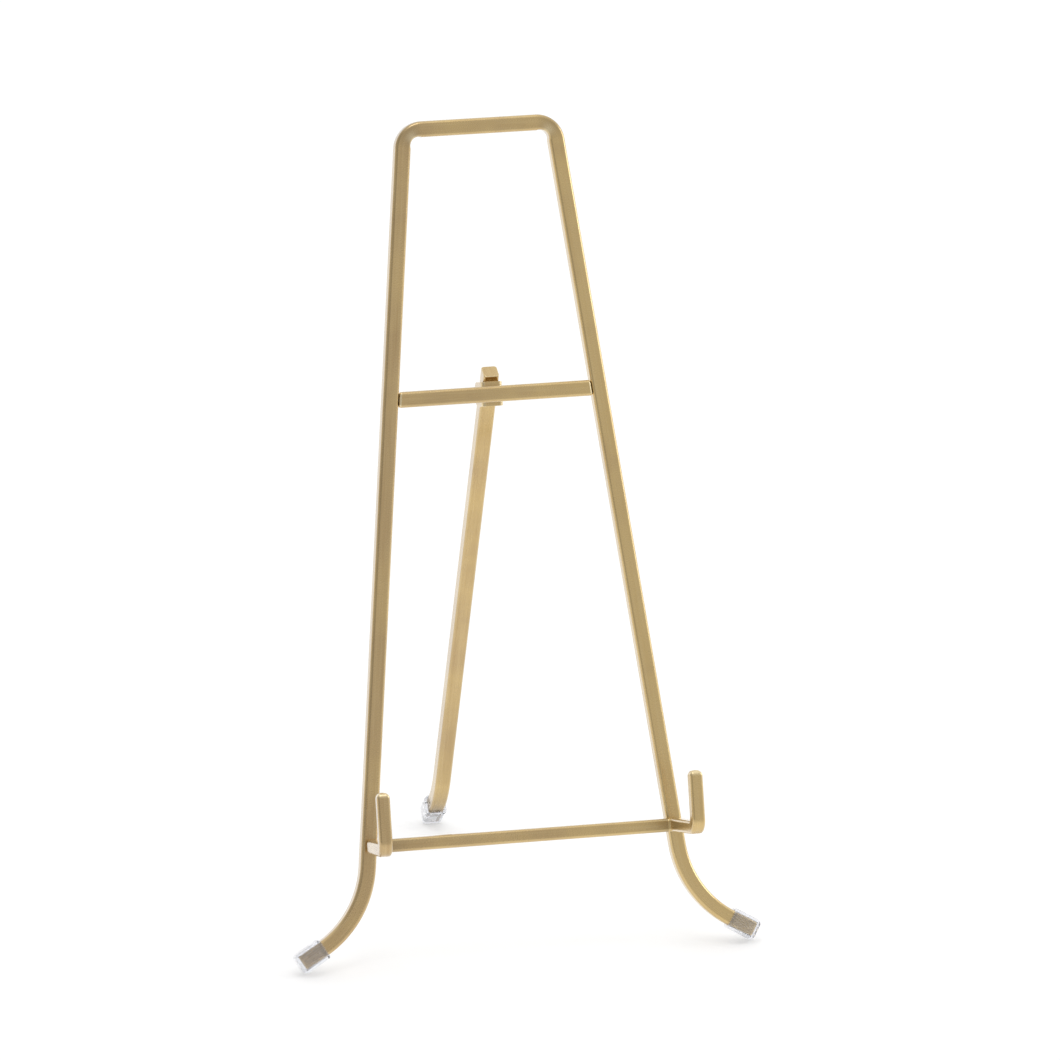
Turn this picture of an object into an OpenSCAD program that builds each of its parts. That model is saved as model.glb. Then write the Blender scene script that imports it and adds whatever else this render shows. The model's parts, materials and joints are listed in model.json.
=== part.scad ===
// Folding display easel: a bent square-bar frame with a hook bar in front, and a hinged back leg.
// The part stands on its three feet at Z = 0, its front towards -Y, in millimetres.

/* [Front frame] */
// Side of the square bar of the frame, the upper crossbar and the back leg
bar_w = 6; // [5.6:0.1:6.2]
// Corner radius of that bar
bar_r = 1.4; // [0.8:0.1:1.8]
// Height of the frame along its own slope, from the floor to the middle of the top bar
frame_h = 312.1; // [280:1:340]
// Half the width of the frame at the top, where its straight lines would meet
top_half_w = 28.7; // [24:0.1:34]
// Spread of each side rail from the frame's centre line, in degrees
rail_spread = 6.43; // [4:0.1:8]
// Backward lean of the frame, in degrees
frame_lean = 15.58; // [12:0.1:18]
// Bend radius of the two top corners, at the middle of the bar
top_bend_r = 7.6; // [4:0.1:14]

/* [Feet] */
// Bend radius above each foot, at the middle of the bar
foot_bend_r = 38.8; // [34:0.1:44]
// Direction of the front feet, in degrees from the frame's centre line
front_foot_angle = 59; // [50:1:65]
// Direction of the back foot, in degrees from the vertical
back_foot_angle = 52; // [45:1:60]
// Straight length at the end of each foot, which the cap covers
foot_end = 10; // [9:0.5:12]

/* [Foot caps] */
// Wall of the foot caps
cap_wall = 1.15; // [0.8:0.05:1.4]
// Thickness of the closed end of a cap
cap_end = 1.5; // [1:0.1:2]
// Outer edge radius of a cap
cap_r = 2; // [1.5:0.1:2.4]

/* [Upper crossbar] */
// Height of the upper crossbar along the frame
upper_v = 211.8; // [200:1:220]

/* [Hook bar] */
// Side of the square bar that the hook bar is bent from
hook_w = 5; // [4.5:0.1:5.4]
// Corner radius of that bar
hook_r = 1.2; // [0.8:0.1:1.5]
// Height of the hook bar along the frame
hook_v = 46.4; // [40:1:60]
// Distance from the frame's centre line to the inside of a bend at an arm
arm_inner_u = 55.8; // [52:0.1:58]
// Outward spread of each arm, in degrees
arm_spread = 2.6; // [0:0.1:4]
// Distance from the rails' middle plane to the middle of the uprights
upright_f = 35.9; // [30:0.1:40]
// Height of a hook from the bottom of its arm to its tip
upright_h = 24; // [18:0.5:30]
// Inside radius of the hook bar's bends
hook_bend_in = 1; // [0.6:0.1:2]

/* [Hinge] */
// Thickness of the bracket's sheet
sheet = 0.8; // [0.7:0.05:1]
// Height of the bracket along the frame
bracket_h = 9.2; // [8.8:0.1:9.4]
// Depth of the bracket behind the upper crossbar
bracket_d = 12; // [12:0.1:13]
// Distance from the pivot to the back edge of the bracket
pivot_edge = 3.3; // [3.1:0.1:3.5]
// Gap on each side of the leg inside the bracket
side_gap = 0.3; // [0.25:0.05:0.4]
// Radius of the rivet's shank
rivet_r = 1.5; // [1.2:0.1:1.7]
// Radial clearance of the leg on the rivet
rivet_gap = 0.05; // [0.02:0.01:0.1]
// Radius of the rivet's heads
rivet_head_r = 2.7; // [2.3:0.1:3]
// Thickness of the rivet's heads
rivet_head_t = 1; // [0.8:0.1:1.4]

/* [Back leg] */
// Lean of the back leg from the vertical, in degrees
leg_lean = 24.17; // [22:0.1:24.3]
// Length of the leg above the pivot
leg_top = 11; // [9:0.1:12]

/* [Hidden] */
$fn = 64;

gold = [0.70, 0.58, 0.38];
vinyl = [0.86, 0.88, 0.90, 0.5];

// Each straight length laps into the bends at its ends, whose section is a hair smaller, so that
// the lengths of a bar join as one solid
lap = 0.1;
hair = 0.06;

// Foot caps: outer width, and how far the middle of the end rounding lies past the bar's end
cap_w = bar_w + 2 * cap_wall;
cap_flat = cap_w / 2 - cap_r;
cap_round = cap_end - cap_r;

// Downward share of a front cap's three directions: across it, through it and along it
down_across = cos(frame_lean) * sin(front_foot_angle);
down_through = sin(frame_lean);
down_along = cos(frame_lean) * cos(front_foot_angle);

// Height along the frame of the front bars' ends, so that the lowest point of the caps is on the floor
cap_corner = cap_r * norm([down_across, down_through + down_along]);
tip_v = (cap_round * down_along + cap_flat * (down_across + down_through) + cap_corner)
    / cos(frame_lean);

// Rails: lower end of the straight length, its length, and the top bar's half length
rail_end_v = tip_v + foot_end * cos(front_foot_angle)
    + foot_bend_r * (sin(front_foot_angle) - sin(rail_spread));
top_turn = 90 - rail_spread;
top_setback = top_bend_r * tan(top_turn / 2);
top_straight = top_half_w - top_setback;
rail_straight = (frame_h - rail_end_v) / cos(rail_spread) - top_setback;

// Half the clear width between the rails at a height v along the frame
function rail_inner_u(v) = top_half_w + (frame_h - v) * tan(rail_spread) - bar_w / 2 / cos(rail_spread);

// Hook bar: middle radius of its bends, and its straight lengths
hook_bend_r = hook_bend_in + hook_w / 2;
hook_f = bar_w / 2 + hook_w / 2;
arm_turn = 90 - arm_spread;
hook_straight = arm_inner_u - hook_bend_in;
arm_straight = (upright_f - hook_f - hook_bend_r * (1 - cos(arm_turn))) / cos(arm_spread) - hook_bend_r;
upright_straight = upright_h - hook_w / 2 - hook_bend_r;

// Hinge: widths of the channel, and the pivot's place behind the frame and in the part's frame
channel_in = bar_w + 2 * side_gap;
channel_out = channel_in + 2 * sheet;
pivot_n = bar_w / 2 + bracket_d - pivot_edge;
pivot_y = upper_v * sin(frame_lean) + pivot_n * cos(frame_lean);
pivot_z = upper_v * cos(frame_lean) - pivot_n * sin(frame_lean);

// Back leg: straight length below the pivot, so that its cap is on the floor
leg_turn = back_foot_angle - leg_lean;
leg_tip_z = cap_round * cos(back_foot_angle) + cap_flat * sin(back_foot_angle) + cap_r;
leg_straight = (pivot_z - leg_tip_z - foot_end * cos(back_foot_angle)
    - foot_bend_r * (sin(back_foot_angle) - sin(leg_lean))) / cos(leg_lean);

// Depth of the part, which puts the origin under the middle of its bounding box
front_y = (hook_v - hook_w / 2) * sin(frame_lean) - (upright_f + hook_w / 2) * cos(frame_lean);
leg_tip_y = pivot_y + leg_straight * sin(leg_lean)
    + foot_bend_r * (cos(leg_lean) - cos(back_foot_angle)) + foot_end * sin(back_foot_angle);
back_y = leg_tip_y + cap_round * sin(back_foot_angle) + cap_flat * cos(back_foot_angle) + cap_r;
shift_y = -(front_y + back_y) / 2;

// Cross-section of a square bar of side w with corner radius r
module bar_section(w, r) {
    square([w - 2 * r, w], center = true);
    square([w, w - 2 * r], center = true);
    for (x = [-1, 1], y = [-1, 1])
        translate([x * (w / 2 - r), y * (w / 2 - r)])
            circle(r);
}

// A bar that runs along +Y from the origin, and can lap into the bends before and after it
module rod(length, w = bar_w, r = bar_r, before = 0, after = 0) {
    translate([0, -before, 0])
        rotate([-90, 0, 0])
            linear_extrude(before + length + after)
                bar_section(w, r);
}

// A bend that starts along +Y at the origin and turns towards +X
module bend(radius, turn, w = bar_w, r = bar_r) {
    translate([radius, 0, 0])
        rotate([0, 0, 180 - turn])
            rotate_extrude(angle = turn, $fn = 96)
                translate([radius, 0])
                    bar_section(w - hair, r);
}

// Moves its children to the far end of a rod
module past_rod(length) {
    translate([0, length, 0])
        children();
}

// Moves its children to the far end of a bend
module past_bend(radius, turn) {
    translate([radius, 0, 0])
        rotate([0, 0, -turn])
            translate([-radius, 0, 0])
                children();
}

// Outline of a bar of side w along +Y, the corners of its far end rounded to r
module end_outline(length, w, r, before) {
    translate([-w / 2, -before])
        square([w, before + length - r]);
    translate([-w / 2 + r, -before])
        square([w - 2 * r, before + length]);
    for (s = [-1, 1])
        translate([s * (w / 2 - r), length - r])
            circle(r);
}

// A bar that runs along +Y from the origin to an end rounded all round
module round_rod(length, w, r, before = 0) {
    intersection() {
        rod(length, w, r, before = before);
        linear_extrude(w, center = true)
            end_outline(length, w, r, before);
        rotate([0, 90, 0])
            linear_extrude(w, center = true)
                end_outline(length, w, r, before);
    }
}

// Lays out its children in the leaning frame: +X across, +Y up the frame, +Z to its front
module on_frame() {
    translate([0, shift_y, 0])
        rotate([90 - frame_lean, 0, 0])
            children();
}

// Moves its children to the start of the straight end of the right front foot, running along +Y
module at_front_foot() {
    translate([0, frame_h, 0])
        rotate([0, 0, -90])
            past_rod(top_straight)
                past_bend(top_bend_r, top_turn)
                    past_rod(rail_straight)
                        mirror([1, 0, 0])
                            past_bend(foot_bend_r, front_foot_angle - rail_spread)
                                children();
}

// Moves its children to the pivot, with +Y down the leg and +X to its front
module at_pivot() {
    translate([0, shift_y + pivot_y, pivot_z])
        rotate([-90 + leg_lean, 0, 0])
            rotate([0, 90, 0])
                children();
}

// Moves its children to the start of the straight end of the back foot
module at_back_foot() {
    at_pivot()
        past_rod(leg_straight)
            mirror([1, 0, 0])
                past_bend(foot_bend_r, leg_turn)
                    children();
}

// Right half of the front frame's single bent bar, without the top length
module frame_half() {
    translate([0, frame_h, 0])
        rotate([0, 0, -90])
            past_rod(top_straight) {
                bend(top_bend_r, top_turn);
                past_bend(top_bend_r, top_turn) {
                    rod(rail_straight, before = lap, after = lap);
                    past_rod(rail_straight)
                        mirror([1, 0, 0])
                            bend(foot_bend_r, front_foot_angle - rail_spread);
                }
            }
    at_front_foot()
        rod(foot_end, before = lap);
}

// One bar bent into the top, both side rails and both front feet
module front_frame() {
    color(gold)
        on_frame() {
            translate([-top_straight, frame_h, 0])
                rotate([0, 0, -90])
                    rod(2 * top_straight, before = lap, after = lap);
            frame_half();
            mirror([1, 0, 0])
                frame_half();
        }
}

// Bar across the rails, its ends cut to their slope
module upper_crossbar() {
    low_u = rail_inner_u(upper_v - bar_w / 2);
    high_u = rail_inner_u(upper_v + bar_w / 2);
    color(gold)
        on_frame()
            translate([0, upper_v, 0])
                intersection() {
                    translate([-low_u, 0, 0])
                        rotate([0, 0, -90])
                            rod(2 * low_u);
                    linear_extrude(bar_w, center = true)
                        polygon([
                            [-low_u, -bar_w / 2], [low_u, -bar_w / 2],
                            [high_u, bar_w / 2], [-high_u, bar_w / 2]
                        ]);
                }
}

// Right half of the hook bar, from the end of the crossbar length to the tip of the hook
module hook_half() {
    past_rod(hook_straight) {
        bend(hook_bend_r, arm_turn, hook_w, hook_r);
        past_bend(hook_bend_r, arm_turn) {
            rod(arm_straight, hook_w, hook_r, before = lap, after = lap);
            past_rod(arm_straight)
                rotate([0, -90, 0]) {
                    bend(hook_bend_r, 90, hook_w, hook_r);
                    past_bend(hook_bend_r, 90)
                        round_rod(upright_straight, hook_w, hook_r, before = lap);
                }
        }
    }
}

// One bar bent into the lower crossbar and the two hooks, lying on the rails' front faces
module hook_bar() {
    color(gold)
        on_frame()
            translate([0, hook_v, hook_f]) {
                translate([-hook_straight, 0, 0])
                    rotate([0, 0, -90])
                        rod(2 * hook_straight, hook_w, hook_r, before = lap, after = lap);
                for (side = [0, 1])
                    mirror([side, 0, 0])
                        rotate([-90, -90, 0])
                            hook_half();
            }
}

// Outline of the channel seen along the frame, its open side towards +Y
module channel_outline() {
    bend_out = 1.2;
    difference() {
        union() {
            translate([-channel_out / 2, bend_out])
                square([channel_out, bracket_d - bend_out]);
            translate([-channel_out / 2 + bend_out, 0])
                square([channel_out - 2 * bend_out, bend_out]);
            for (s = [-1, 1])
                translate([s * (channel_out / 2 - bend_out), bend_out])
                    circle(bend_out);
        }
        translate([-channel_in / 2, sheet])
            square([channel_in, bracket_d]);
    }
}

// Side outline of the bracket, from the crossbar backwards along +X
module bracket_side() {
    reach = bracket_d - pivot_edge;
    corner = bracket_h / 2 - pivot_edge;
    translate([0, -bracket_h / 2])
        square([reach, bracket_h]);
    translate([0, -corner])
        square([bracket_d, 2 * corner]);
    for (s = [-1, 1])
        translate([reach, s * corner])
            circle(pivot_edge);
}

// Sheet channel on the back of the upper crossbar that the leg turns in
module hinge_bracket() {
    color(gold)
        on_frame()
            translate([0, upper_v, -bar_w / 2])
                difference() {
                    intersection() {
                        translate([0, bracket_h / 2, 0])
                            rotate([90, 0, 0])
                                mirror([0, 1, 0])
                                    linear_extrude(bracket_h)
                                        channel_outline();
                        rotate([0, 90, 0])
                            linear_extrude(channel_out, center = true)
                                bracket_side();
                    }
                    translate([0, 0, -bracket_d + pivot_edge])
                        rotate([0, 90, 0])
                            cylinder(h = channel_out + 1, r = rivet_r, center = true);
                }
}

// Rivet through the bracket's two ears and the leg
module hinge_rivet() {
    color(gold)
        at_pivot() {
            cylinder(h = channel_out, r = rivet_r, center = true);
            for (s = [-1, 1])
                translate([0, 0, s * (channel_out + rivet_head_t) / 2])
                    cylinder(h = rivet_head_t, r = rivet_head_r, center = true);
        }
}

// Straight bar with a bent foot, bored for the rivet
module rear_leg() {
    color(gold) {
        difference() {
            at_pivot()
                translate([0, -leg_top, 0])
                    rod(leg_top + leg_straight, after = lap);
            at_pivot()
                cylinder(h = bar_w + 1, r = rivet_r + rivet_gap, center = true);
        }
        at_pivot()
            past_rod(leg_straight)
                mirror([1, 0, 0])
                    bend(foot_bend_r, leg_turn);
        at_back_foot()
            rod(foot_end, before = lap);
    }
}

// Soft cap on the end of a foot, its mouth at the origin and its closed end along +Y
module foot_cap() {
    color(vinyl)
        difference() {
            round_rod(foot_end + cap_end, cap_w, cap_r);
            rod(foot_end, before = lap);
        }
}

module right_foot_cap() {
    on_frame()
        at_front_foot()
            foot_cap();
}

module left_foot_cap() {
    on_frame()
        mirror([1, 0, 0])
            at_front_foot()
                foot_cap();
}

module rear_foot_cap() {
    at_back_foot()
        foot_cap();
}

front_frame();
upper_crossbar();
hook_bar();
hinge_bracket();
hinge_rivet();
left_foot_cap();
right_foot_cap();
rear_leg();
rear_foot_cap();
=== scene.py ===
"""Display easel: the looks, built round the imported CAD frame. Lengths are in metres, angles in degrees."""

import json
from math import cos, pi, radians, sin, sqrt, tan

import bpy
from mathutils import Matrix, Vector

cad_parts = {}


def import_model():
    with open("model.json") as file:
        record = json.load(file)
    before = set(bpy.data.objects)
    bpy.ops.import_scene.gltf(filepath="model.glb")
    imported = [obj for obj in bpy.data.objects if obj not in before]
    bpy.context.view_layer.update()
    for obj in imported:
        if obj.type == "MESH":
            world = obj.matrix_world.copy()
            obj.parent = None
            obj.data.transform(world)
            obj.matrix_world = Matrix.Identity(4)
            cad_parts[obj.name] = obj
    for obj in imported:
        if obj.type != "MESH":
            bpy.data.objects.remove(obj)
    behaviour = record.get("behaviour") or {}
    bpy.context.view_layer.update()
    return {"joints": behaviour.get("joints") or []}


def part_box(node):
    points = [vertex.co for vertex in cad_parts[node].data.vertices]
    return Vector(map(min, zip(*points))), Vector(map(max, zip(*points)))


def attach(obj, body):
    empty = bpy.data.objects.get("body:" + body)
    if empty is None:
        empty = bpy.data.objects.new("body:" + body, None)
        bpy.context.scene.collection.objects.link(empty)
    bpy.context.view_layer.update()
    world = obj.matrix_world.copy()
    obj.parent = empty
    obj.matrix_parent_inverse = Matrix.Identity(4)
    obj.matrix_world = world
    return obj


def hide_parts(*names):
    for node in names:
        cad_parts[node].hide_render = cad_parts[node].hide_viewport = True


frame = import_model()
MM = 0.001

# ---------------------------------------------------------------- driving dimensions

BAR_W, BAR_R = 6 * MM, 1.4 * MM
HOOK_W, HOOK_R = 5 * MM, 1.2 * MM
FRAME_LEAN = 15.58
RAIL_SPREAD = 6.43
TOP_HALF_W = 28.7 * MM
TOP_BEND_R = 7.6 * MM
FOOT_BEND_R = 38.8 * MM
FRONT_FOOT_ANGLE = 59
BACK_FOOT_ANGLE = 52
FOOT_END = 10 * MM
FRAME_H = 312.1 * MM
TIP_V = 4.5215 * MM
UPPER_V = 211.8 * MM
HOOK_V = 46.4 * MM
ARM_INNER_U = 55.8 * MM
ARM_SPREAD = 2.6
UPRIGHT_F = 35.9 * MM
UPRIGHT_H = 24 * MM
HOOK_BEND_R = 3.5 * MM
BRACKET_H, BRACKET_D = 9.2 * MM, 12 * MM
BRACKET_CORNER_R = 3.3 * MM
SHEET = 0.8 * MM
SHEET_BEND_R = 1.2 * MM
CHANNEL_W = 8.2 * MM
LEG_LEAN = 24.17
LEG_TOP = 11 * MM
LEG_R = 1.0 * MM
LEG_STRAIGHT = 193.617 * MM
CAP_WALL, CAP_R, CAP_END = 1.15 * MM, 2 * MM, 1.5 * MM
RIVET_HEAD_R, RIVET_HEAD_T = 2.7 * MM, 1 * MM

# How far the edges of a sawn end are eased, and of a hook's tip
SAWN_EASE = 0.35 * MM
TIP_EASE = 2.1 * MM

# Share of its half width that the bar loses on the inside of the two top bends
TOP_PINCH = 0.24

# How bright the painted highlights are, from 0 to 1: bar ends, inside of the top bends,
# crossbar ends, sheet bends
END_HIGHLIGHT = 0.55
BEND_HIGHLIGHT = 0.4
CROSSBAR_HIGHLIGHT = 0.85
SHEET_HIGHLIGHT = 0.7

# How much painted shade darkens the gold, from 0 to 1: in the joints of the upper crossbar, in the caps'
# mouths, inside the front and back caps, and in the bends
JOINT_DARK = 0.7
CAP_MOUTH_DARK = 0.5
FRONT_CAP_DARK = 0.2
BACK_CAP_DARK = 0.3
TOP_BEND_DARK = 0.26
ARM_BEND_DARK = 0.1
LEG_BEND_DARK = 0.32

# Steps of painted shade down the leg, and along the lower crossbar's last stretch before each bend
LEG_DARKS = (0.03, 0.06, 0.08, 0.1)
HOOK_DARKS = (0.08, 0.2, 0.4)

# Length of that last stretch
HOOK_SHADE = 15 * MM

# Length of the line of painted shade in the mouths of the foot caps
CAP_MOUTH_SHADE = 0.8 * MM

# Length of leg past the pivot before its painted shade starts to change
PIVOT_ZONE = 5 * MM

# Distance between the rings of the shorter stretches
LEG_TOP_PITCH = 2 * MM
ARM_PITCH = 3 * MM
FINE_PITCH = 1 * MM
SHEET_PITCH = 0.3 * MM

# Upper crossbar: the gap to each rail, and how far its cut ends are eased
CROSSBAR_GAP = 0.12 * MM
CROSSBAR_EASE = 0.9 * MM

# Corner radius of the sheet's edges
SHEET_EDGE_R = 0.18 * MM

# The rivet's shank, the straight rim of its heads, and the tiny flat in the middle of each head
RIVET_SHANK_R = 1.45 * MM
RIVET_RIM = 0.3 * MM
RIVET_FLAT_R = 0.05 * MM

# Clearance between a bar and the cap on it
CAP_FIT = 0.05 * MM

# ---------------------------------------------------------------- derived lengths

FOOT_TURN = FRONT_FOOT_ANGLE - RAIL_SPREAD
TOP_TURN = 90 - RAIL_SPREAD
TOP_SETBACK = TOP_BEND_R * tan(radians(TOP_TURN / 2))
TOP_STRAIGHT = TOP_HALF_W - TOP_SETBACK
RAIL_END_V = (TIP_V + FOOT_END * cos(radians(FRONT_FOOT_ANGLE))
              + FOOT_BEND_R * (sin(radians(FRONT_FOOT_ANGLE)) - sin(radians(RAIL_SPREAD))))
RAIL_STRAIGHT = (FRAME_H - RAIL_END_V) / cos(radians(RAIL_SPREAD)) - TOP_SETBACK
HOOK_F = BAR_W / 2 + HOOK_W / 2
ARM_TURN = 90 - ARM_SPREAD
HOOK_STRAIGHT = ARM_INNER_U - HOOK_BEND_R + HOOK_W / 2
ARM_BEND_F = HOOK_BEND_R * (1 - cos(radians(ARM_TURN)))
ARM_STRAIGHT = (UPRIGHT_F - HOOK_F - ARM_BEND_F) / cos(radians(ARM_SPREAD)) - HOOK_BEND_R
UPRIGHT_STRAIGHT = UPRIGHT_H - HOOK_W / 2 - HOOK_BEND_R
LEG_TURN = BACK_FOOT_ANGLE - LEG_LEAN

# ---------------------------------------------------------------- places taken from the frame

# The leaning frame's axes: x across, y up the frame, z to its front
LEAN_AXES = Matrix.Rotation(pi / 2 - radians(FRAME_LEAN), 4, "X")
crossbar_low, crossbar_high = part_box("upper_crossbar")
crossbar_mid = (crossbar_low + crossbar_high) / 2
ON_FRAME = Matrix.Translation(crossbar_mid - LEAN_AXES @ Vector((0, UPPER_V, 0))) @ LEAN_AXES

# The leg's pivot, with +y down the leg and +x to its front
PIVOT = Vector(frame["joints"][0]["pos_m"])
AT_PIVOT = (Matrix.Translation(PIVOT) @ Matrix.Rotation(radians(LEG_LEAN) - pi / 2, 4, "X")
            @ Matrix.Rotation(pi / 2, 4, "Y"))

# Swaps the easel's left and right sides
MIRROR = ON_FRAME @ Matrix.Diagonal((-1, 1, 1, 1)) @ ON_FRAME.inverted()


def axes(x, y, z):
    """A turn that sends the three axes to the directions given."""
    return Matrix((x, y, z)).transposed().to_4x4()


# ---------------------------------------------------------------- materials

# Gold: the colour itself, where it is streaked or worn, where its tone is deep,
# the painted shade (joints, bends, caps), and the painted highlight
GOLD_BASE = (0.61, 0.435, 0.18)
GOLD_PALE = (0.76, 0.59, 0.31)
GOLD_DEEP = (0.47, 0.32, 0.145)
GOLD_SHADE = (0.10, 0.07, 0.04)
GOLD_HIGHLIGHT = (1.0, 0.86, 0.56)

# Patterns on the gold, in cells per metre: along and around the bar, or the same every way
FINE_STREAKS = (45, 3200)
BROAD_STREAKS = (18, 700)
WEAR_PATCHES = (90, 500)
TONE_CELLS = 34
GRAIN_CELLS = 2600

# How much the tone deepens per metre towards the left side
TONE_SLOPE = 3.2

# Shares of the pale gold in the streaks and on the worn edges
STREAK_SHARE = 0.35
WORN_SHARE = 0.4

# Vinyl: the two tints it drifts between, and its patterns in cells per metre
VINYL_CLEAR = (0.905, 0.915, 0.95)
VINYL_CLOUDY = (0.84, 0.85, 0.895)
CLOUD_CELLS = 420
SCUFFS = (500, 900)


def new_material(name):
    """A material with its nodes, its links and its shader."""
    material = bpy.data.materials.new(name)
    material.use_nodes = True
    nodes = material.node_tree.nodes
    links = material.node_tree.links
    return material, nodes, links, nodes["Principled BSDF"]


def noise(nodes, links, vector, scale, detail=3, roughness=0.6):
    """A noise value from 0 to 1."""
    node = nodes.new("ShaderNodeTexNoise")
    node.inputs["Scale"].default_value = scale
    node.inputs["Detail"].default_value = detail
    node.inputs["Roughness"].default_value = roughness
    links.new(vector, node.inputs["Vector"])
    return node.outputs["Fac"]


def remap(nodes, links, value, from_low, from_high, to_low, to_high):
    """The value's range moved to another range, and clamped to it."""
    node = nodes.new("ShaderNodeMapRange")
    node.inputs["From Min"].default_value = from_low
    node.inputs["From Max"].default_value = from_high
    node.inputs["To Min"].default_value = to_low
    node.inputs["To Max"].default_value = to_high
    links.new(value, node.inputs["Value"])
    return node.outputs["Result"]


def calc(nodes, links, operation, a, b):
    """One operation on two values, each a socket or a number."""
    node = nodes.new("ShaderNodeMath")
    node.operation = operation
    for socket, value in zip(node.inputs, (a, b)):
        if isinstance(value, (int, float)):
            socket.default_value = value
        else:
            links.new(value, socket)
    return node.outputs["Value"]


def mix(nodes, links, share, a, b):
    """Colour a turning to colour b as the share goes from 0 to 1."""
    node = nodes.new("ShaderNodeMix")
    node.data_type = "RGBA"
    links.new(share, node.inputs["Factor"])
    for socket, value in ((node.inputs[6], a), (node.inputs[7], b)):
        if isinstance(value, tuple):
            socket.default_value = (*value, 1)
        else:
            links.new(value, socket)
    return node.outputs[2]


def stretched(nodes, links, along, around):
    """The piece's own map, in metres along and around it, scaled by a number of cells per metre."""
    uv = nodes.new("ShaderNodeUVMap")
    uv.uv_map = "Along"
    mapping = nodes.new("ShaderNodeMapping")
    mapping.inputs["Scale"].default_value = (along, around, 1)
    links.new(uv.outputs["UV"], mapping.inputs["Vector"])
    return mapping.outputs["Vector"]


def attribute(nodes, name):
    """A value that the mesh holds at each point."""
    node = nodes.new("ShaderNodeAttribute")
    node.attribute_name = name
    return node.outputs["Fac"]


def gold_material(name):
    """Satin gold plating under a thin lacquer, with streaks and slow changes of tone.

    The mesh says where it is worn (edge), where shade is painted on (crevice) and where highlights are
    painted on (polish).
    """
    material, nodes, links, shader = new_material(name)
    place = nodes.new("ShaderNodeTexCoord").outputs["Object"]
    fine = noise(nodes, links, stretched(nodes, links, *FINE_STREAKS), 1, 4, 0.65)
    broad = noise(nodes, links, stretched(nodes, links, *BROAD_STREAKS), 1, 3)
    tone = noise(nodes, links, place, TONE_CELLS, 3)
    across = nodes.new("ShaderNodeSeparateXYZ")
    links.new(place, across.inputs["Vector"])
    slope = calc(nodes, links, "MULTIPLY", across.outputs["X"], TONE_SLOPE)
    tone = calc(nodes, links, "SUBTRACT", tone, slope)
    grain = noise(nodes, links, place, GRAIN_CELLS, 2)

    streaks = remap(nodes, links, calc(nodes, links, "ADD", fine, broad), 0.75, 1.25, 0, 1)
    colour = mix(nodes, links, remap(nodes, links, tone, 0.35, 0.68, 0, 1), GOLD_BASE, GOLD_DEEP)
    colour = mix(nodes, links, calc(nodes, links, "MULTIPLY", streaks, STREAK_SHARE), colour, GOLD_PALE)

    rim = attribute(nodes, "edge")
    patches = noise(nodes, links, stretched(nodes, links, *WEAR_PATCHES), 1, 4)
    patchy = remap(nodes, links, patches, 0.42, 0.62, 0.25, 1)
    worn = calc(nodes, links, "MULTIPLY", calc(nodes, links, "POWER", rim, 2.0), patchy)
    colour = mix(nodes, links, calc(nodes, links, "MULTIPLY", worn, WORN_SHARE), colour, GOLD_PALE)
    # Painted shade: the gold darkens where the mesh asks for it, in joints, caps and bends
    dark = attribute(nodes, "painted_shade")
    colour = mix(nodes, links, dark, colour, GOLD_SHADE)
    # Painted highlight: the gold turns pale and bright on the ends and bends the mesh marks
    colour = mix(nodes, links, attribute(nodes, "painted_highlight"), colour, GOLD_HIGHLIGHT)
    links.new(colour, shader.inputs["Base Color"])

    rough = remap(nodes, links, streaks, 0, 1, 0.34, 0.22)
    rough = calc(nodes, links, "ADD", rough, remap(nodes, links, grain, 0.3, 0.7, -0.03, 0.03))
    rough = calc(nodes, links, "SUBTRACT", rough, calc(nodes, links, "MULTIPLY", worn, 0.05))
    links.new(rough, shader.inputs["Roughness"])
    shader.inputs["Metallic"].default_value = 1
    shader.inputs["Coat Weight"].default_value = 0.9
    shader.inputs["Coat Roughness"].default_value = 0.1
    shader.inputs["Coat IOR"].default_value = 1.5

    height = calc(nodes, links, "ADD", streaks, grain)
    bump = nodes.new("ShaderNodeBump")
    bump.inputs["Strength"].default_value = 0.25
    bump.inputs["Distance"].default_value = 0.01 * MM
    links.new(height, bump.inputs["Height"])
    links.new(bump.outputs["Normal"], shader.inputs["Normal"])
    return material


def vinyl_material(name):
    """Clear soft vinyl, faintly cloudy, glossy, and scuffed towards its closed end."""
    material, nodes, links, shader = new_material(name)
    place = nodes.new("ShaderNodeTexCoord").outputs["Object"]
    cloud = noise(nodes, links, place, CLOUD_CELLS, 3)
    scuffs = noise(nodes, links, stretched(nodes, links, *SCUFFS), 1, 5, 0.7)
    tint = remap(nodes, links, cloud, 0.35, 0.65, 0, 1)
    colour = mix(nodes, links, tint, VINYL_CLEAR, VINYL_CLOUDY)
    links.new(colour, shader.inputs["Base Color"])
    closed_end = attribute(nodes, "edge")
    scuffed = calc(nodes, links, "MULTIPLY", closed_end, remap(nodes, links, scuffs, 0.45, 0.7, 0, 0.2))
    links.new(calc(nodes, links, "ADD", scuffed, 0.08), shader.inputs["Roughness"])
    shader.inputs["Transmission Weight"].default_value = 0.93
    shader.inputs["IOR"].default_value = 1.14
    shader.inputs["Coat Weight"].default_value = 0.8
    shader.inputs["Coat Roughness"].default_value = 0.06
    bump = nodes.new("ShaderNodeBump")
    bump.inputs["Strength"].default_value = 0.2
    bump.inputs["Distance"].default_value = 0.03 * MM
    links.new(calc(nodes, links, "ADD", cloud, scuffs), bump.inputs["Height"])
    links.new(bump.outputs["Normal"], shader.inputs["Normal"])
    return material


GOLD = gold_material("gold_bar")
VINYL = vinyl_material("clear_vinyl")


# ---------------------------------------------------------------- skins round a section

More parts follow.
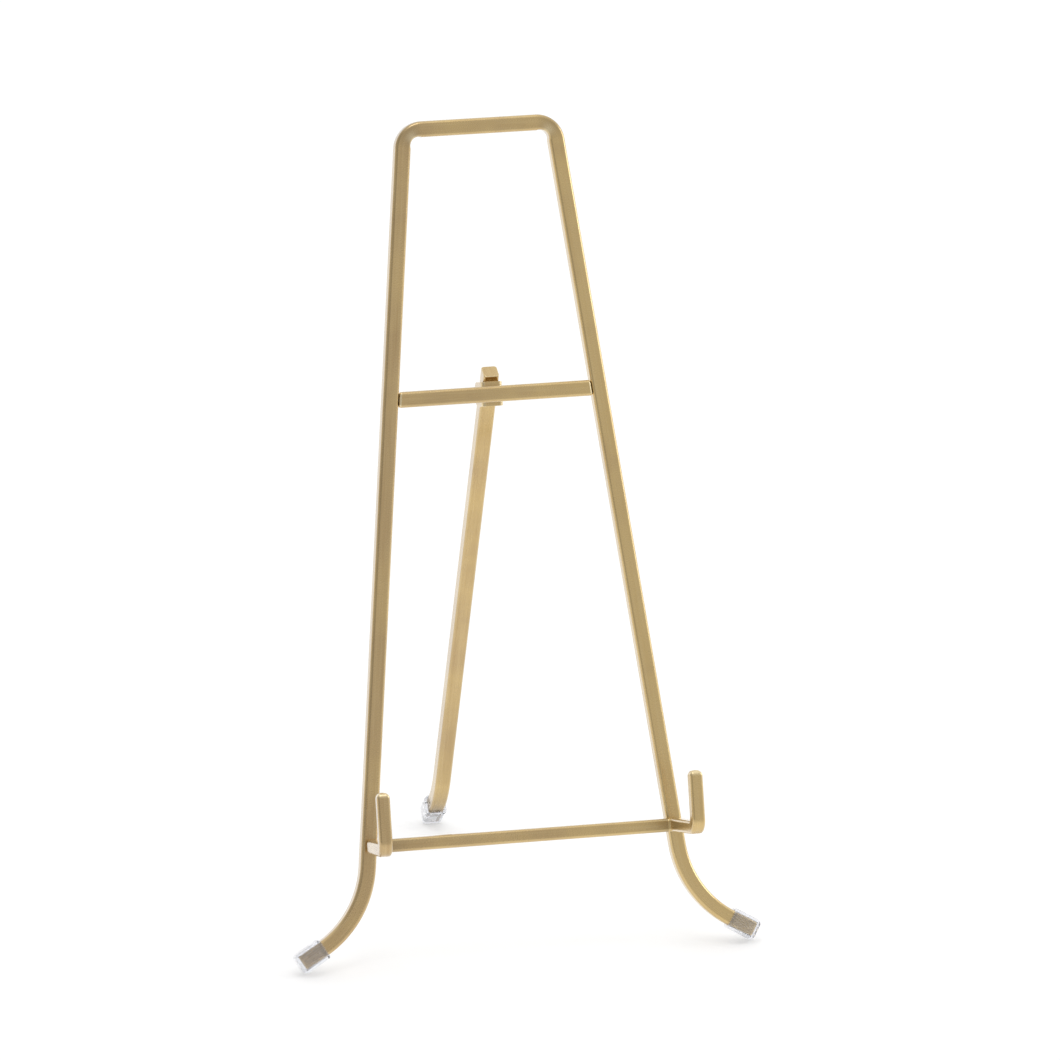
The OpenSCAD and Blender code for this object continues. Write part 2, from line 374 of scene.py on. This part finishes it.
def square_section(half_w, half_h, r, steps=6):
    """A rectangle with round corners as (x, z, normal x, normal z, edge), the edge being 1 at mid corner."""
    points = []
    for quarter, (sx, sz) in enumerate([(1, 1), (-1, 1), (-1, -1), (1, -1)]):
        for k in range(steps + 1):
            a = pi / 2 * (quarter + k / steps)
            points.append((sx * (half_w - r) + r * cos(a), sz * (half_h - r) + r * sin(a),
                           cos(a), sin(a), sin(pi * k / steps)))
    return points


def round_section(r, steps=40):
    """A circle as (x, z, normal x, normal z, edge)."""
    angles = [2 * pi * k / steps for k in range(steps)]
    return [(r * cos(a), r * sin(a), cos(a), sin(a), 0) for a in angles]


def ring(at, shape, y, outset=0, out=1.0, forward=0.0):
    """One ring of (point, normal): the section moved out along its normals.

    Each normal is made of a share out of the section and a share forward along the bar.
    """
    turn = at.to_3x3()
    pairs = []
    for x, z, nx, nz, _ in shape:
        point = at @ Vector((x + outset * nx, y, z + outset * nz))
        normal = turn @ Vector((nx * out, forward, nz * out))
        pairs.append((point, normal.normalized()))
    return pairs


def skin(name, rings, shape, runs, edges=None, painted_shades=None, painted_highlight=None):
    """A closed mesh through rings; runs holds how far along the piece each ring is, for its map.

    edges, crevices and polish hold one value for each point: how worn it is, and how much painted shade and
    painted highlight it gets.
    Without edges, the section's own values are used, and without the others 0.
    """
    count = len(shape)
    points = [point for one in rings for point, _ in one]
    normals = [normal for one in rings for _, normal in one]
    around = [0.0]
    for j in range(count):
        here, after = shape[j], shape[(j + 1) % count]
        around.append(around[-1] + Vector((after[0] - here[0], after[1] - here[1])).length)

    faces = [tuple(range(count)), tuple(reversed(range(len(points) - count, len(points))))]
    maps = [(x, z) for x, z, *_ in shape] + [(x, z) for x, z, *_ in reversed(shape)]
    for i in range(len(rings) - 1):
        for j in range(count):
            k = (j + 1) % count
            faces.append((i * count + j, (i + 1) * count + j, (i + 1) * count + k, i * count + k))
            maps += [(runs[i], around[j]), (runs[i + 1], around[j]),
                     (runs[i + 1], around[j + 1]), (runs[i], around[j + 1])]

    mesh = bpy.data.meshes.new(name)
    mesh.from_pydata(points, [], faces)
    layer = mesh.uv_layers.new(name="Along")
    for loop, uv in zip(layer.data, maps):
        loop.uv = uv
    plain = [0.0] * len(points)
    values = {"edge": edges or [edge for _ in rings for *_, edge in shape],
              "painted_shade": painted_shades or plain,
              "painted_highlight": painted_highlight or plain}
    for title, numbers in values.items():
        layer = mesh.attributes.new(title, "FLOAT", "POINT")
        layer.data.foreach_set("value", numbers)
    mesh.shade_smooth()
    mesh.normals_split_custom_set_from_vertices(normals)
    piece = bpy.data.objects.new(name, mesh)
    bpy.context.scene.collection.objects.link(piece)
    return piece


def finish_piece(piece, material, body, node):
    """Gives a piece its material, and puts it on its body in place of its node."""
    piece.data.materials.append(material)
    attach(piece, body)
    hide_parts(node)


# ---------------------------------------------------------------- bars

class Route:
    """Stations along a bar, which runs along its own +y: (place, run, tone, pinch); the tone is painted
    shade, or painted highlight on the bracket's sheet.
    """

    def __init__(self, start):
        self.stations = [(start.copy(), 0.0, 0.0, 0.0)]

    def step(self, move, length, tone=0.0, pinch=0.0):
        at, run, *_ = self.stations[-1]
        self.stations.append((at @ move, run + length, tone, pinch))

    def straight(self, length, pitch=4 * MM, tone=0.0):
        count = max(1, round(length / pitch))
        for _ in range(count):
            self.step(Matrix.Translation((0, length / count, 0)), length / count, tone)
        return self

    def bend(self, radius, turn, towards="x", tone=0.0, hold=False, pinch=0.0):
        """A bend towards +x or +z, or away if the turn is negative.

        It gets the most painted shade mid bend, or at its end where the tone is held, and is pinched mid
        bend.
        """
        side = radius if turn > 0 else -radius
        count = max(8, round(abs(turn) / 3))
        centre = Matrix.Translation((side, 0, 0) if towards == "x" else (0, 0, side))
        angle = radians(turn) / count
        spin = Matrix.Rotation(-angle, 4, "Z") if towards == "x" else Matrix.Rotation(angle, 4, "X")
        move = centre @ spin @ centre.inverted()
        for k in range(1, count + 1):
            middle = sin(pi * k / count)
            self.step(move, radius * abs(angle), tone * (k / count if hold else middle), pinch * middle)
        return self

    def with_mirror_image(self):
        """The whole of a bar from its right half: the mirror image run backwards, then the half itself."""
        reverse = Matrix.Diagonal((1, -1, 1, 1))
        left = [(MIRROR @ at @ reverse, -run, *rest) for at, run, *rest in reversed(self.stations[1:])]
        self.stations = left + self.stations
        return self


def bar(name, route, w, r, start_ease, end_ease, steps=4):
    """A square bar along a route, its two ends eased and given a painted highlight.

    Where it is pinched, its inner front quarter gets a painted highlight too.
    """
    shape = square_section(w / 2, w / 2, r)
    rings, runs, tones, painted_highlight = [], [], [], []

    def end_rings(at, run, ease, way, order):
        for k in order:
            a = pi / 2 * k / steps
            share = 1 - ease / (w / 2) * (1 - sin(a))
            small = [(x * share, z * share, nx, nz, edge) for x, z, nx, nz, edge in shape]
            y = -way * ease * (1 - cos(a))
            rings.append(ring(at, small, y, 0, sin(a), way * cos(a)))
            runs.append(run + y)
            tones.append(0)
            # Painted highlight round the eased end
            painted_highlight.extend([END_HIGHLIGHT * sin(2 * a)] * len(shape))

    end_rings(route.stations[0][0], route.stations[0][1], start_ease, -1, range(steps + 1))
    for at, run, tone, pinch in route.stations[1:-1]:
        pinched = [(x - max(x, 0) * pinch, z, nx, nz, edge) for x, z, nx, nz, edge in shape]
        rings.append(ring(at, pinched, 0))
        runs.append(run)
        tones.append(tone)
        # Painted highlight on the inner front quarter of the pinched top bends
        bright = BEND_HIGHLIGHT * (pinch / TOP_PINCH) ** 4
        painted_highlight.extend(bright if x > 0 and z > 0 else 0.0 for x, z, *_ in shape)
    end_rings(route.stations[-1][0], route.stations[-1][1], end_ease, 1, range(steps, -1, -1))
    # The stations' tones become the bar's painted shade
    return skin(name, rings, shape, runs, painted_shades=[tone for tone in tones for _ in shape], painted_highlight=painted_highlight)


# Front frame: one bar bent into the top, both rails and both front feet
TOP_AXES = axes((0, -1, 0), (1, 0, 0), (0, 0, 1))
frame_route = Route(ON_FRAME @ Matrix.Translation((0, FRAME_H, 0)) @ TOP_AXES)
# Painted shade in the two top bends
frame_route.straight(TOP_STRAIGHT).bend(TOP_BEND_R, TOP_TURN, tone=TOP_BEND_DARK, pinch=TOP_PINCH)
frame_route.straight(RAIL_STRAIGHT).bend(FOOT_BEND_R, -FOOT_TURN)
FRONT_FOOT = frame_route.stations[-1][0].copy()
# Painted shade in the caps' mouths and on the bar inside the front caps
frame_route.straight(CAP_MOUTH_SHADE, tone=CAP_MOUTH_DARK)
frame_route.straight(FOOT_END - CAP_MOUTH_SHADE, FINE_PITCH, tone=FRONT_CAP_DARK).with_mirror_image()
front_frame = bar("front_frame_bar", frame_route, BAR_W, BAR_R, SAWN_EASE, SAWN_EASE)
finish_piece(front_frame, GOLD, "frame", "front_frame")

# Hook bar: one thinner bar bent into the lower crossbar and the two hooks
HOOK_AXES = axes((0, 0, 1), (1, 0, 0), (0, 1, 0))
hook_route = Route(ON_FRAME @ Matrix.Translation((0, HOOK_V, HOOK_F)) @ HOOK_AXES)
# Painted shade along the lower crossbar's last stretch and in its bends to the arms
hook_route.straight(HOOK_STRAIGHT - HOOK_SHADE)
for dark in HOOK_DARKS:
    hook_route.straight(HOOK_SHADE / len(HOOK_DARKS), tone=dark)
hook_route.bend(HOOK_BEND_R, ARM_TURN, tone=ARM_BEND_DARK).straight(ARM_STRAIGHT, ARM_PITCH)
hook_route.bend(HOOK_BEND_R, 90, "z").straight(UPRIGHT_STRAIGHT, ARM_PITCH).with_mirror_image()
hook_bar = bar("hook_bar_bent", hook_route, HOOK_W, HOOK_R, TIP_EASE, TIP_EASE)
finish_piece(hook_bar, GOLD, "frame", "hook_bar")

# Back leg: one bar from its sawn top, past the pivot, to its bent foot
leg_route = Route(AT_PIVOT @ Matrix.Translation((0, -LEG_TOP, 0)))
leg_route.straight(LEG_TOP + PIVOT_ZONE, LEG_TOP_PITCH)
# Painted shade down the leg, in its foot bend, in the cap's mouth and inside the back cap
for dark in LEG_DARKS:
    leg_route.straight((LEG_STRAIGHT - PIVOT_ZONE) / len(LEG_DARKS), tone=dark)
leg_route.bend(FOOT_BEND_R, -LEG_TURN, tone=LEG_BEND_DARK, hold=True)
BACK_FOOT = leg_route.stations[-1][0].copy()
leg_route.straight(CAP_MOUTH_SHADE, tone=CAP_MOUTH_DARK)
leg_route.straight(FOOT_END - CAP_MOUTH_SHADE, FINE_PITCH, tone=BACK_CAP_DARK)
rear_leg = bar("rear_leg_bar", leg_route, BAR_W, LEG_R, SAWN_EASE, SAWN_EASE)
finish_piece(rear_leg, GOLD, "leg", "rear_leg")


# ---------------------------------------------------------------- upper crossbar

def rail_inner_u(v):
    """Half the clear width between the rails at a height v up the frame."""
    spread = radians(RAIL_SPREAD)
    return TOP_HALF_W + (FRAME_H - v) * tan(spread) - BAR_W / 2 / cos(spread)


def crossbar():
    """A bar whose two ends are cut to the rails' slope, a hair short of them.

    Each end gets painted shade in the joint, and a painted highlight where its edges are eased.
    """
    shape = square_section(BAR_W / 2, BAR_W / 2, BAR_R)
    slope = -tan(radians(RAIL_SPREAD))
    half = rail_inner_u(UPPER_V) - CROSSBAR_GAP
    turn = (ON_FRAME @ TOP_AXES).to_3x3()
    steps, cells = 4, 20
    share = CROSSBAR_EASE / half
    rows = []
    for k in range(steps + 1):
        a = pi / 2 / steps * k
        # Painted shade on the end ring in the joint, painted highlight on the eased rings
        dark = JOINT_DARK if k == 0 else 0.0
        bright = CROSSBAR_HIGHLIGHT if 0 < k < steps else 0.0
        rows.append((1 - share * (1 - cos(a)), CROSSBAR_EASE * (sin(a) - 1), a, dark, bright))
    rows += [(1 - share - k / cells, 0, pi / 2, 0.0, 0.0) for k in range(1, cells)]
    rows = [(-t, inset, -a, *tones) for t, inset, a, *tones in rows] + list(reversed(rows))
    rings, runs, painted_shades, painted_highlight = [], [], [], []
    for t, inset, a, dark, bright in rows:
        pairs = []
        lean = cos(a) if t > 0 else -cos(a)
        for x, z, nx, nz, _ in shape:
            height = -(x + inset * nx)
            point = ON_FRAME @ Vector((t * (half + slope * height), UPPER_V + height, z + inset * nz))
            normal = turn @ Vector((nx * abs(sin(a)), lean, nz * abs(sin(a))))
            pairs.append((point, normal.normalized()))
        rings.append(pairs)
        runs.append(t * half)
        painted_shades.extend([dark] * len(shape))
        painted_highlight.extend([bright] * len(shape))
    return skin("upper_crossbar_bar", rings, shape, runs, painted_shades=painted_shades, painted_highlight=painted_highlight)


finish_piece(crossbar(), GOLD, "frame", "upper_crossbar")


# ---------------------------------------------------------------- hinge bracket and rivet

def bracket():
    """A bent sheet channel: two ears with round back corners, and the web against the crossbar.

    The tone of its stations says how much painted highlight the sheet gets there.
    """
    start = ON_FRAME @ Matrix.Translation((SHEET / 2 - CHANNEL_W / 2, UPPER_V, -BAR_W / 2 - BRACKET_D))
    bend_out = SHEET_BEND_R + SHEET / 2
    route = Route(start @ axes((-1, 0, 0), (0, 0, 1), (0, 1, 0)))
    # Both bends of the sheet get a painted highlight
    route.straight(BRACKET_D - bend_out, SHEET_PITCH).bend(SHEET_BEND_R, -90, tone=SHEET_HIGHLIGHT)
    route.straight(CHANNEL_W - 2 * bend_out, FINE_PITCH)
    route.bend(SHEET_BEND_R, -90, tone=SHEET_HIGHLIGHT).straight(BRACKET_D - bend_out, SHEET_PITCH)
    to_frame = ON_FRAME.inverted()
    shape = square_section(SHEET / 2, BRACKET_H / 2, SHEET_EDGE_R, 3)
    total = route.stations[-1][1]
    reach = BRACKET_D - BRACKET_CORNER_R
    # Just short of the round corner's full quarter, where its slope would have no end
    most_over = BRACKET_CORNER_R * 0.999
    rings, runs, painted_highlight = [], [], []
    for at, run, bright, _ in route.stations:
        depth = -BAR_W / 2 - (to_frame @ at).translation.z
        over = min(max(depth - reach, 0), most_over)
        drop = BRACKET_CORNER_R - sqrt(BRACKET_CORNER_R ** 2 - over ** 2)
        lean = over / BRACKET_CORNER_R * (-1 if run < total / 2 else 1)
        level = sqrt(1 - lean ** 2)
        turn = at.to_3x3()
        pairs = []
        for x, z, nx, nz, _ in shape:
            point = at @ Vector((x, 0, z - drop if z > 0 else z + drop))
            normal = turn @ Vector((nx, abs(nz) * lean, nz * level))
            pairs.append((point, normal.normalized()))
        rings.append(pairs)
        runs.append(run)
        painted_highlight.extend([bright] * len(shape))
    flat = BRACKET_H / 2 - BRACKET_CORNER_R
    for end, way in ((0, -1), (-1, 1)):
        at = route.stations[end][0]
        turn = at.to_3x3()
        normal = turn @ Vector((0, way, 0))
        pairs = [(at @ Vector((x, 0, flat if z > 0 else -flat)), normal) for x, z, *_ in shape]
        rings.insert(0 if end == 0 else len(rings), pairs)
        runs.insert(0 if end == 0 else len(runs), runs[end])
    end_ring = [0.0] * len(shape)
    return skin("hinge_bracket_sheet", rings, shape, runs, painted_highlight=end_ring + painted_highlight + end_ring)


finish_piece(bracket(), GOLD, "frame", "hinge_bracket")


def rivet():
    """A rivet whose two heads are low domes with a short straight rim."""
    turned = AT_PIVOT @ Matrix.Rotation(pi / 2, 4, "X")
    shape = round_section(RIVET_SHANK_R)
    seat = CHANNEL_W / 2
    head = RIVET_HEAD_R - RIVET_SHANK_R
    centre = RIVET_FLAT_R - RIVET_SHANK_R
    steps = 6
    rows = [(seat + RIVET_RIM + (RIVET_HEAD_T - RIVET_RIM) * cos(0), centre, 0, 1)]
    for k in range(1, steps + 1):
        a = pi / 2 * k / steps
        rise = seat + RIVET_RIM + (RIVET_HEAD_T - RIVET_RIM) * cos(a)
        rows.append((rise, RIVET_HEAD_R * sin(a) - RIVET_SHANK_R, sin(a), cos(a)))
    rows += [(seat, head, 1, 0), (seat, head, 0, -1), (seat, 0, 0, -1), (seat, 0, 1, 0)]
    rows = [(-y, out, n, -f) for y, out, n, f in rows] + [(y, out, n, f) for y, out, n, f in reversed(rows)]
    rings = [ring(turned, shape, y, outset, out, forward) for y, outset, out, forward in rows]
    return skin("hinge_rivet_domed", rings, shape, [row[0] for row in rows])


finish_piece(rivet(), GOLD, "frame", "hinge_rivet")


# ---------------------------------------------------------------- foot caps

def foot_cap(name, at):
    """A hollow cap: rounded closed end, outer wall, rounded mouth and inner wall.

    Its edge values rise from 0 at mid length to 1 at the closed end, where it is scuffed.
    """
    end = FOOT_END + CAP_END
    shape = square_section(BAR_W / 2, BAR_W / 2, CAP_R - CAP_WALL)
    # A little less than the corner's radius, so that the end face's corners don't shrink to points
    ease = CAP_R * 0.97
    end_steps, lip_steps = 6, 8
    rows = []
    for k in range(end_steps + 1):
        a = pi / 2 * k / end_steps
        rows.append((end - ease * (1 - cos(a)), CAP_WALL - ease * (1 - sin(a)), sin(a), cos(a)))
    lip = (CAP_WALL - CAP_FIT) / 2
    for k in range(lip_steps + 1):
        a = pi * k / lip_steps
        rows.append((lip - lip * sin(a), CAP_FIT + lip + lip * cos(a), cos(a), -sin(a)))
    rows.append((FOOT_END + CAP_FIT, CAP_FIT, -1, 0))
    rows.append((FOOT_END + CAP_FIT, CAP_FIT, 0, -1))
    rows.reverse()
    rings = [ring(at, shape, *row) for row in rows]
    edges = [max(0.0, min(1.0, row[0] / end * 2 - 1)) for row in rows for _ in shape]
    return skin(name, rings, shape, [row[0] for row in rows], edges=edges)


LEFT_FOOT = MIRROR @ FRONT_FOOT @ Matrix.Diagonal((-1, 1, 1, 1))
finish_piece(foot_cap("left_cap_clear", LEFT_FOOT), VINYL, "frame", "left_foot_cap")
finish_piece(foot_cap("right_cap_clear", FRONT_FOOT), VINYL, "frame", "right_foot_cap")
finish_piece(foot_cap("rear_cap_clear", BACK_FOOT), VINYL, "leg", "rear_foot_cap")


# ---------------------------------------------------------------- floor, light and camera

# Height of the object's middle, which the lights face
OBJECT_MID_Z = 0.15


def grey(level):
    return (level, level, level)


def floor():
    """A wide pale floor that also glows. Its colour and its glow get weaker towards the front."""
    half = 9.0
    dim_from, dim_to = -0.16, -0.6
    corners = [(-half, -half, 0), (half, -half, 0), (half, half, 0), (-half, half, 0)]
    mesh = bpy.data.meshes.new("floor")
    mesh.from_pydata(corners, [], [(0, 1, 2, 3)])
    piece = bpy.data.objects.new("floor", mesh)
    bpy.context.scene.collection.objects.link(piece)
    material, nodes, links, shader = new_material("pale_floor")
    place = nodes.new("ShaderNodeSeparateXYZ")
    links.new(nodes.new("ShaderNodeTexCoord").outputs["Object"], place.inputs["Vector"])
    near = remap(nodes, links, place.outputs["Y"], dim_from, dim_to, 0, 1)
    links.new(mix(nodes, links, near, grey(0.66), grey(0.42)), shader.inputs["Base Color"])
    links.new(mix(nodes, links, near, grey(0.42), grey(0.30)), shader.inputs["Emission Color"])
    shader.inputs["Roughness"].default_value = 0.9
    shader.inputs["Emission Strength"].default_value = 1
    mesh.materials.append(material)


def world(bright, dim_parts):
    """Soft light from all round, dimmer towards some directions: (direction, cosines from and to, drop)."""
    scene_world = bpy.data.worlds.new("soft_light")
    bpy.context.scene.world = scene_world
    scene_world.use_nodes = True
    nodes = scene_world.node_tree.nodes
    links = scene_world.node_tree.links
    direction = nodes.new("ShaderNodeTexCoord").outputs["Generated"]
    strength = bright
    for towards, edge, core, drop in dim_parts:
        dot = nodes.new("ShaderNodeVectorMath")
        dot.operation = "DOT_PRODUCT"
        dot.inputs[1].default_value = Vector(towards).normalized()
        links.new(direction, dot.inputs[0])
        lobe = remap(nodes, links, dot.outputs["Value"], edge, core, 0, drop)
        strength = calc(nodes, links, "SUBTRACT", strength, lobe)
    links.new(strength, nodes["Background"].inputs["Strength"])
    nodes["Background"].inputs["Color"].default_value = (1, 1, 1, 1)


def softbox(name, place, size, power):
    """A square area light that faces the object's middle."""
    light = bpy.data.lights.new(name, "AREA")
    light.size = size
    light.energy = power
    piece = bpy.data.objects.new(name, light)
    piece.location = place
    away = Vector(place) - Vector((0, 0, OBJECT_MID_Z))
    piece.rotation_euler = away.to_track_quat("Z", "Y").to_euler()
    bpy.context.scene.collection.objects.link(piece)


def camera(azimuth, elevation, target, distance, lens):
    """A camera that faces the target, from an angle round from the front and an angle up."""
    data = bpy.data.cameras.new("camera")
    data.lens = lens
    data.sensor_width = 36
    piece = bpy.data.objects.new("camera", data)
    a, e = radians(azimuth), radians(elevation)
    back = Vector((sin(a) * cos(e), -cos(a) * cos(e), sin(e)))
    piece.location = Vector(target) + distance * back
    piece.rotation_euler = back.to_track_quat("Z", "Y").to_euler()
    bpy.context.scene.collection.objects.link(piece)
    bpy.context.scene.camera = piece


# Dim parts of the surroundings, which the bars' front and left faces mirror
DIM_FRONT = ((0.22, -0.95, 0.24), 0.35, 0.9, 0.3)
DIM_LEFT = ((-0.97, -0.25, 0.15), 0.45, 0.85, 0.5)

floor()
world(1.0, [DIM_FRONT, DIM_LEFT])
softbox("softbox_top", place=(-0.2, -0.6, 2.4), size=0.8, power=5)
softbox("softbox_right", place=(2.3, -0.3, 0.9), size=1.1, power=8)
camera(azimuth=-13.17, elevation=16.85, target=(0.0004, -0.0723, 0.1676), distance=4.03, lens=370)
bpy.context.scene.view_settings.view_transform = "Standard"
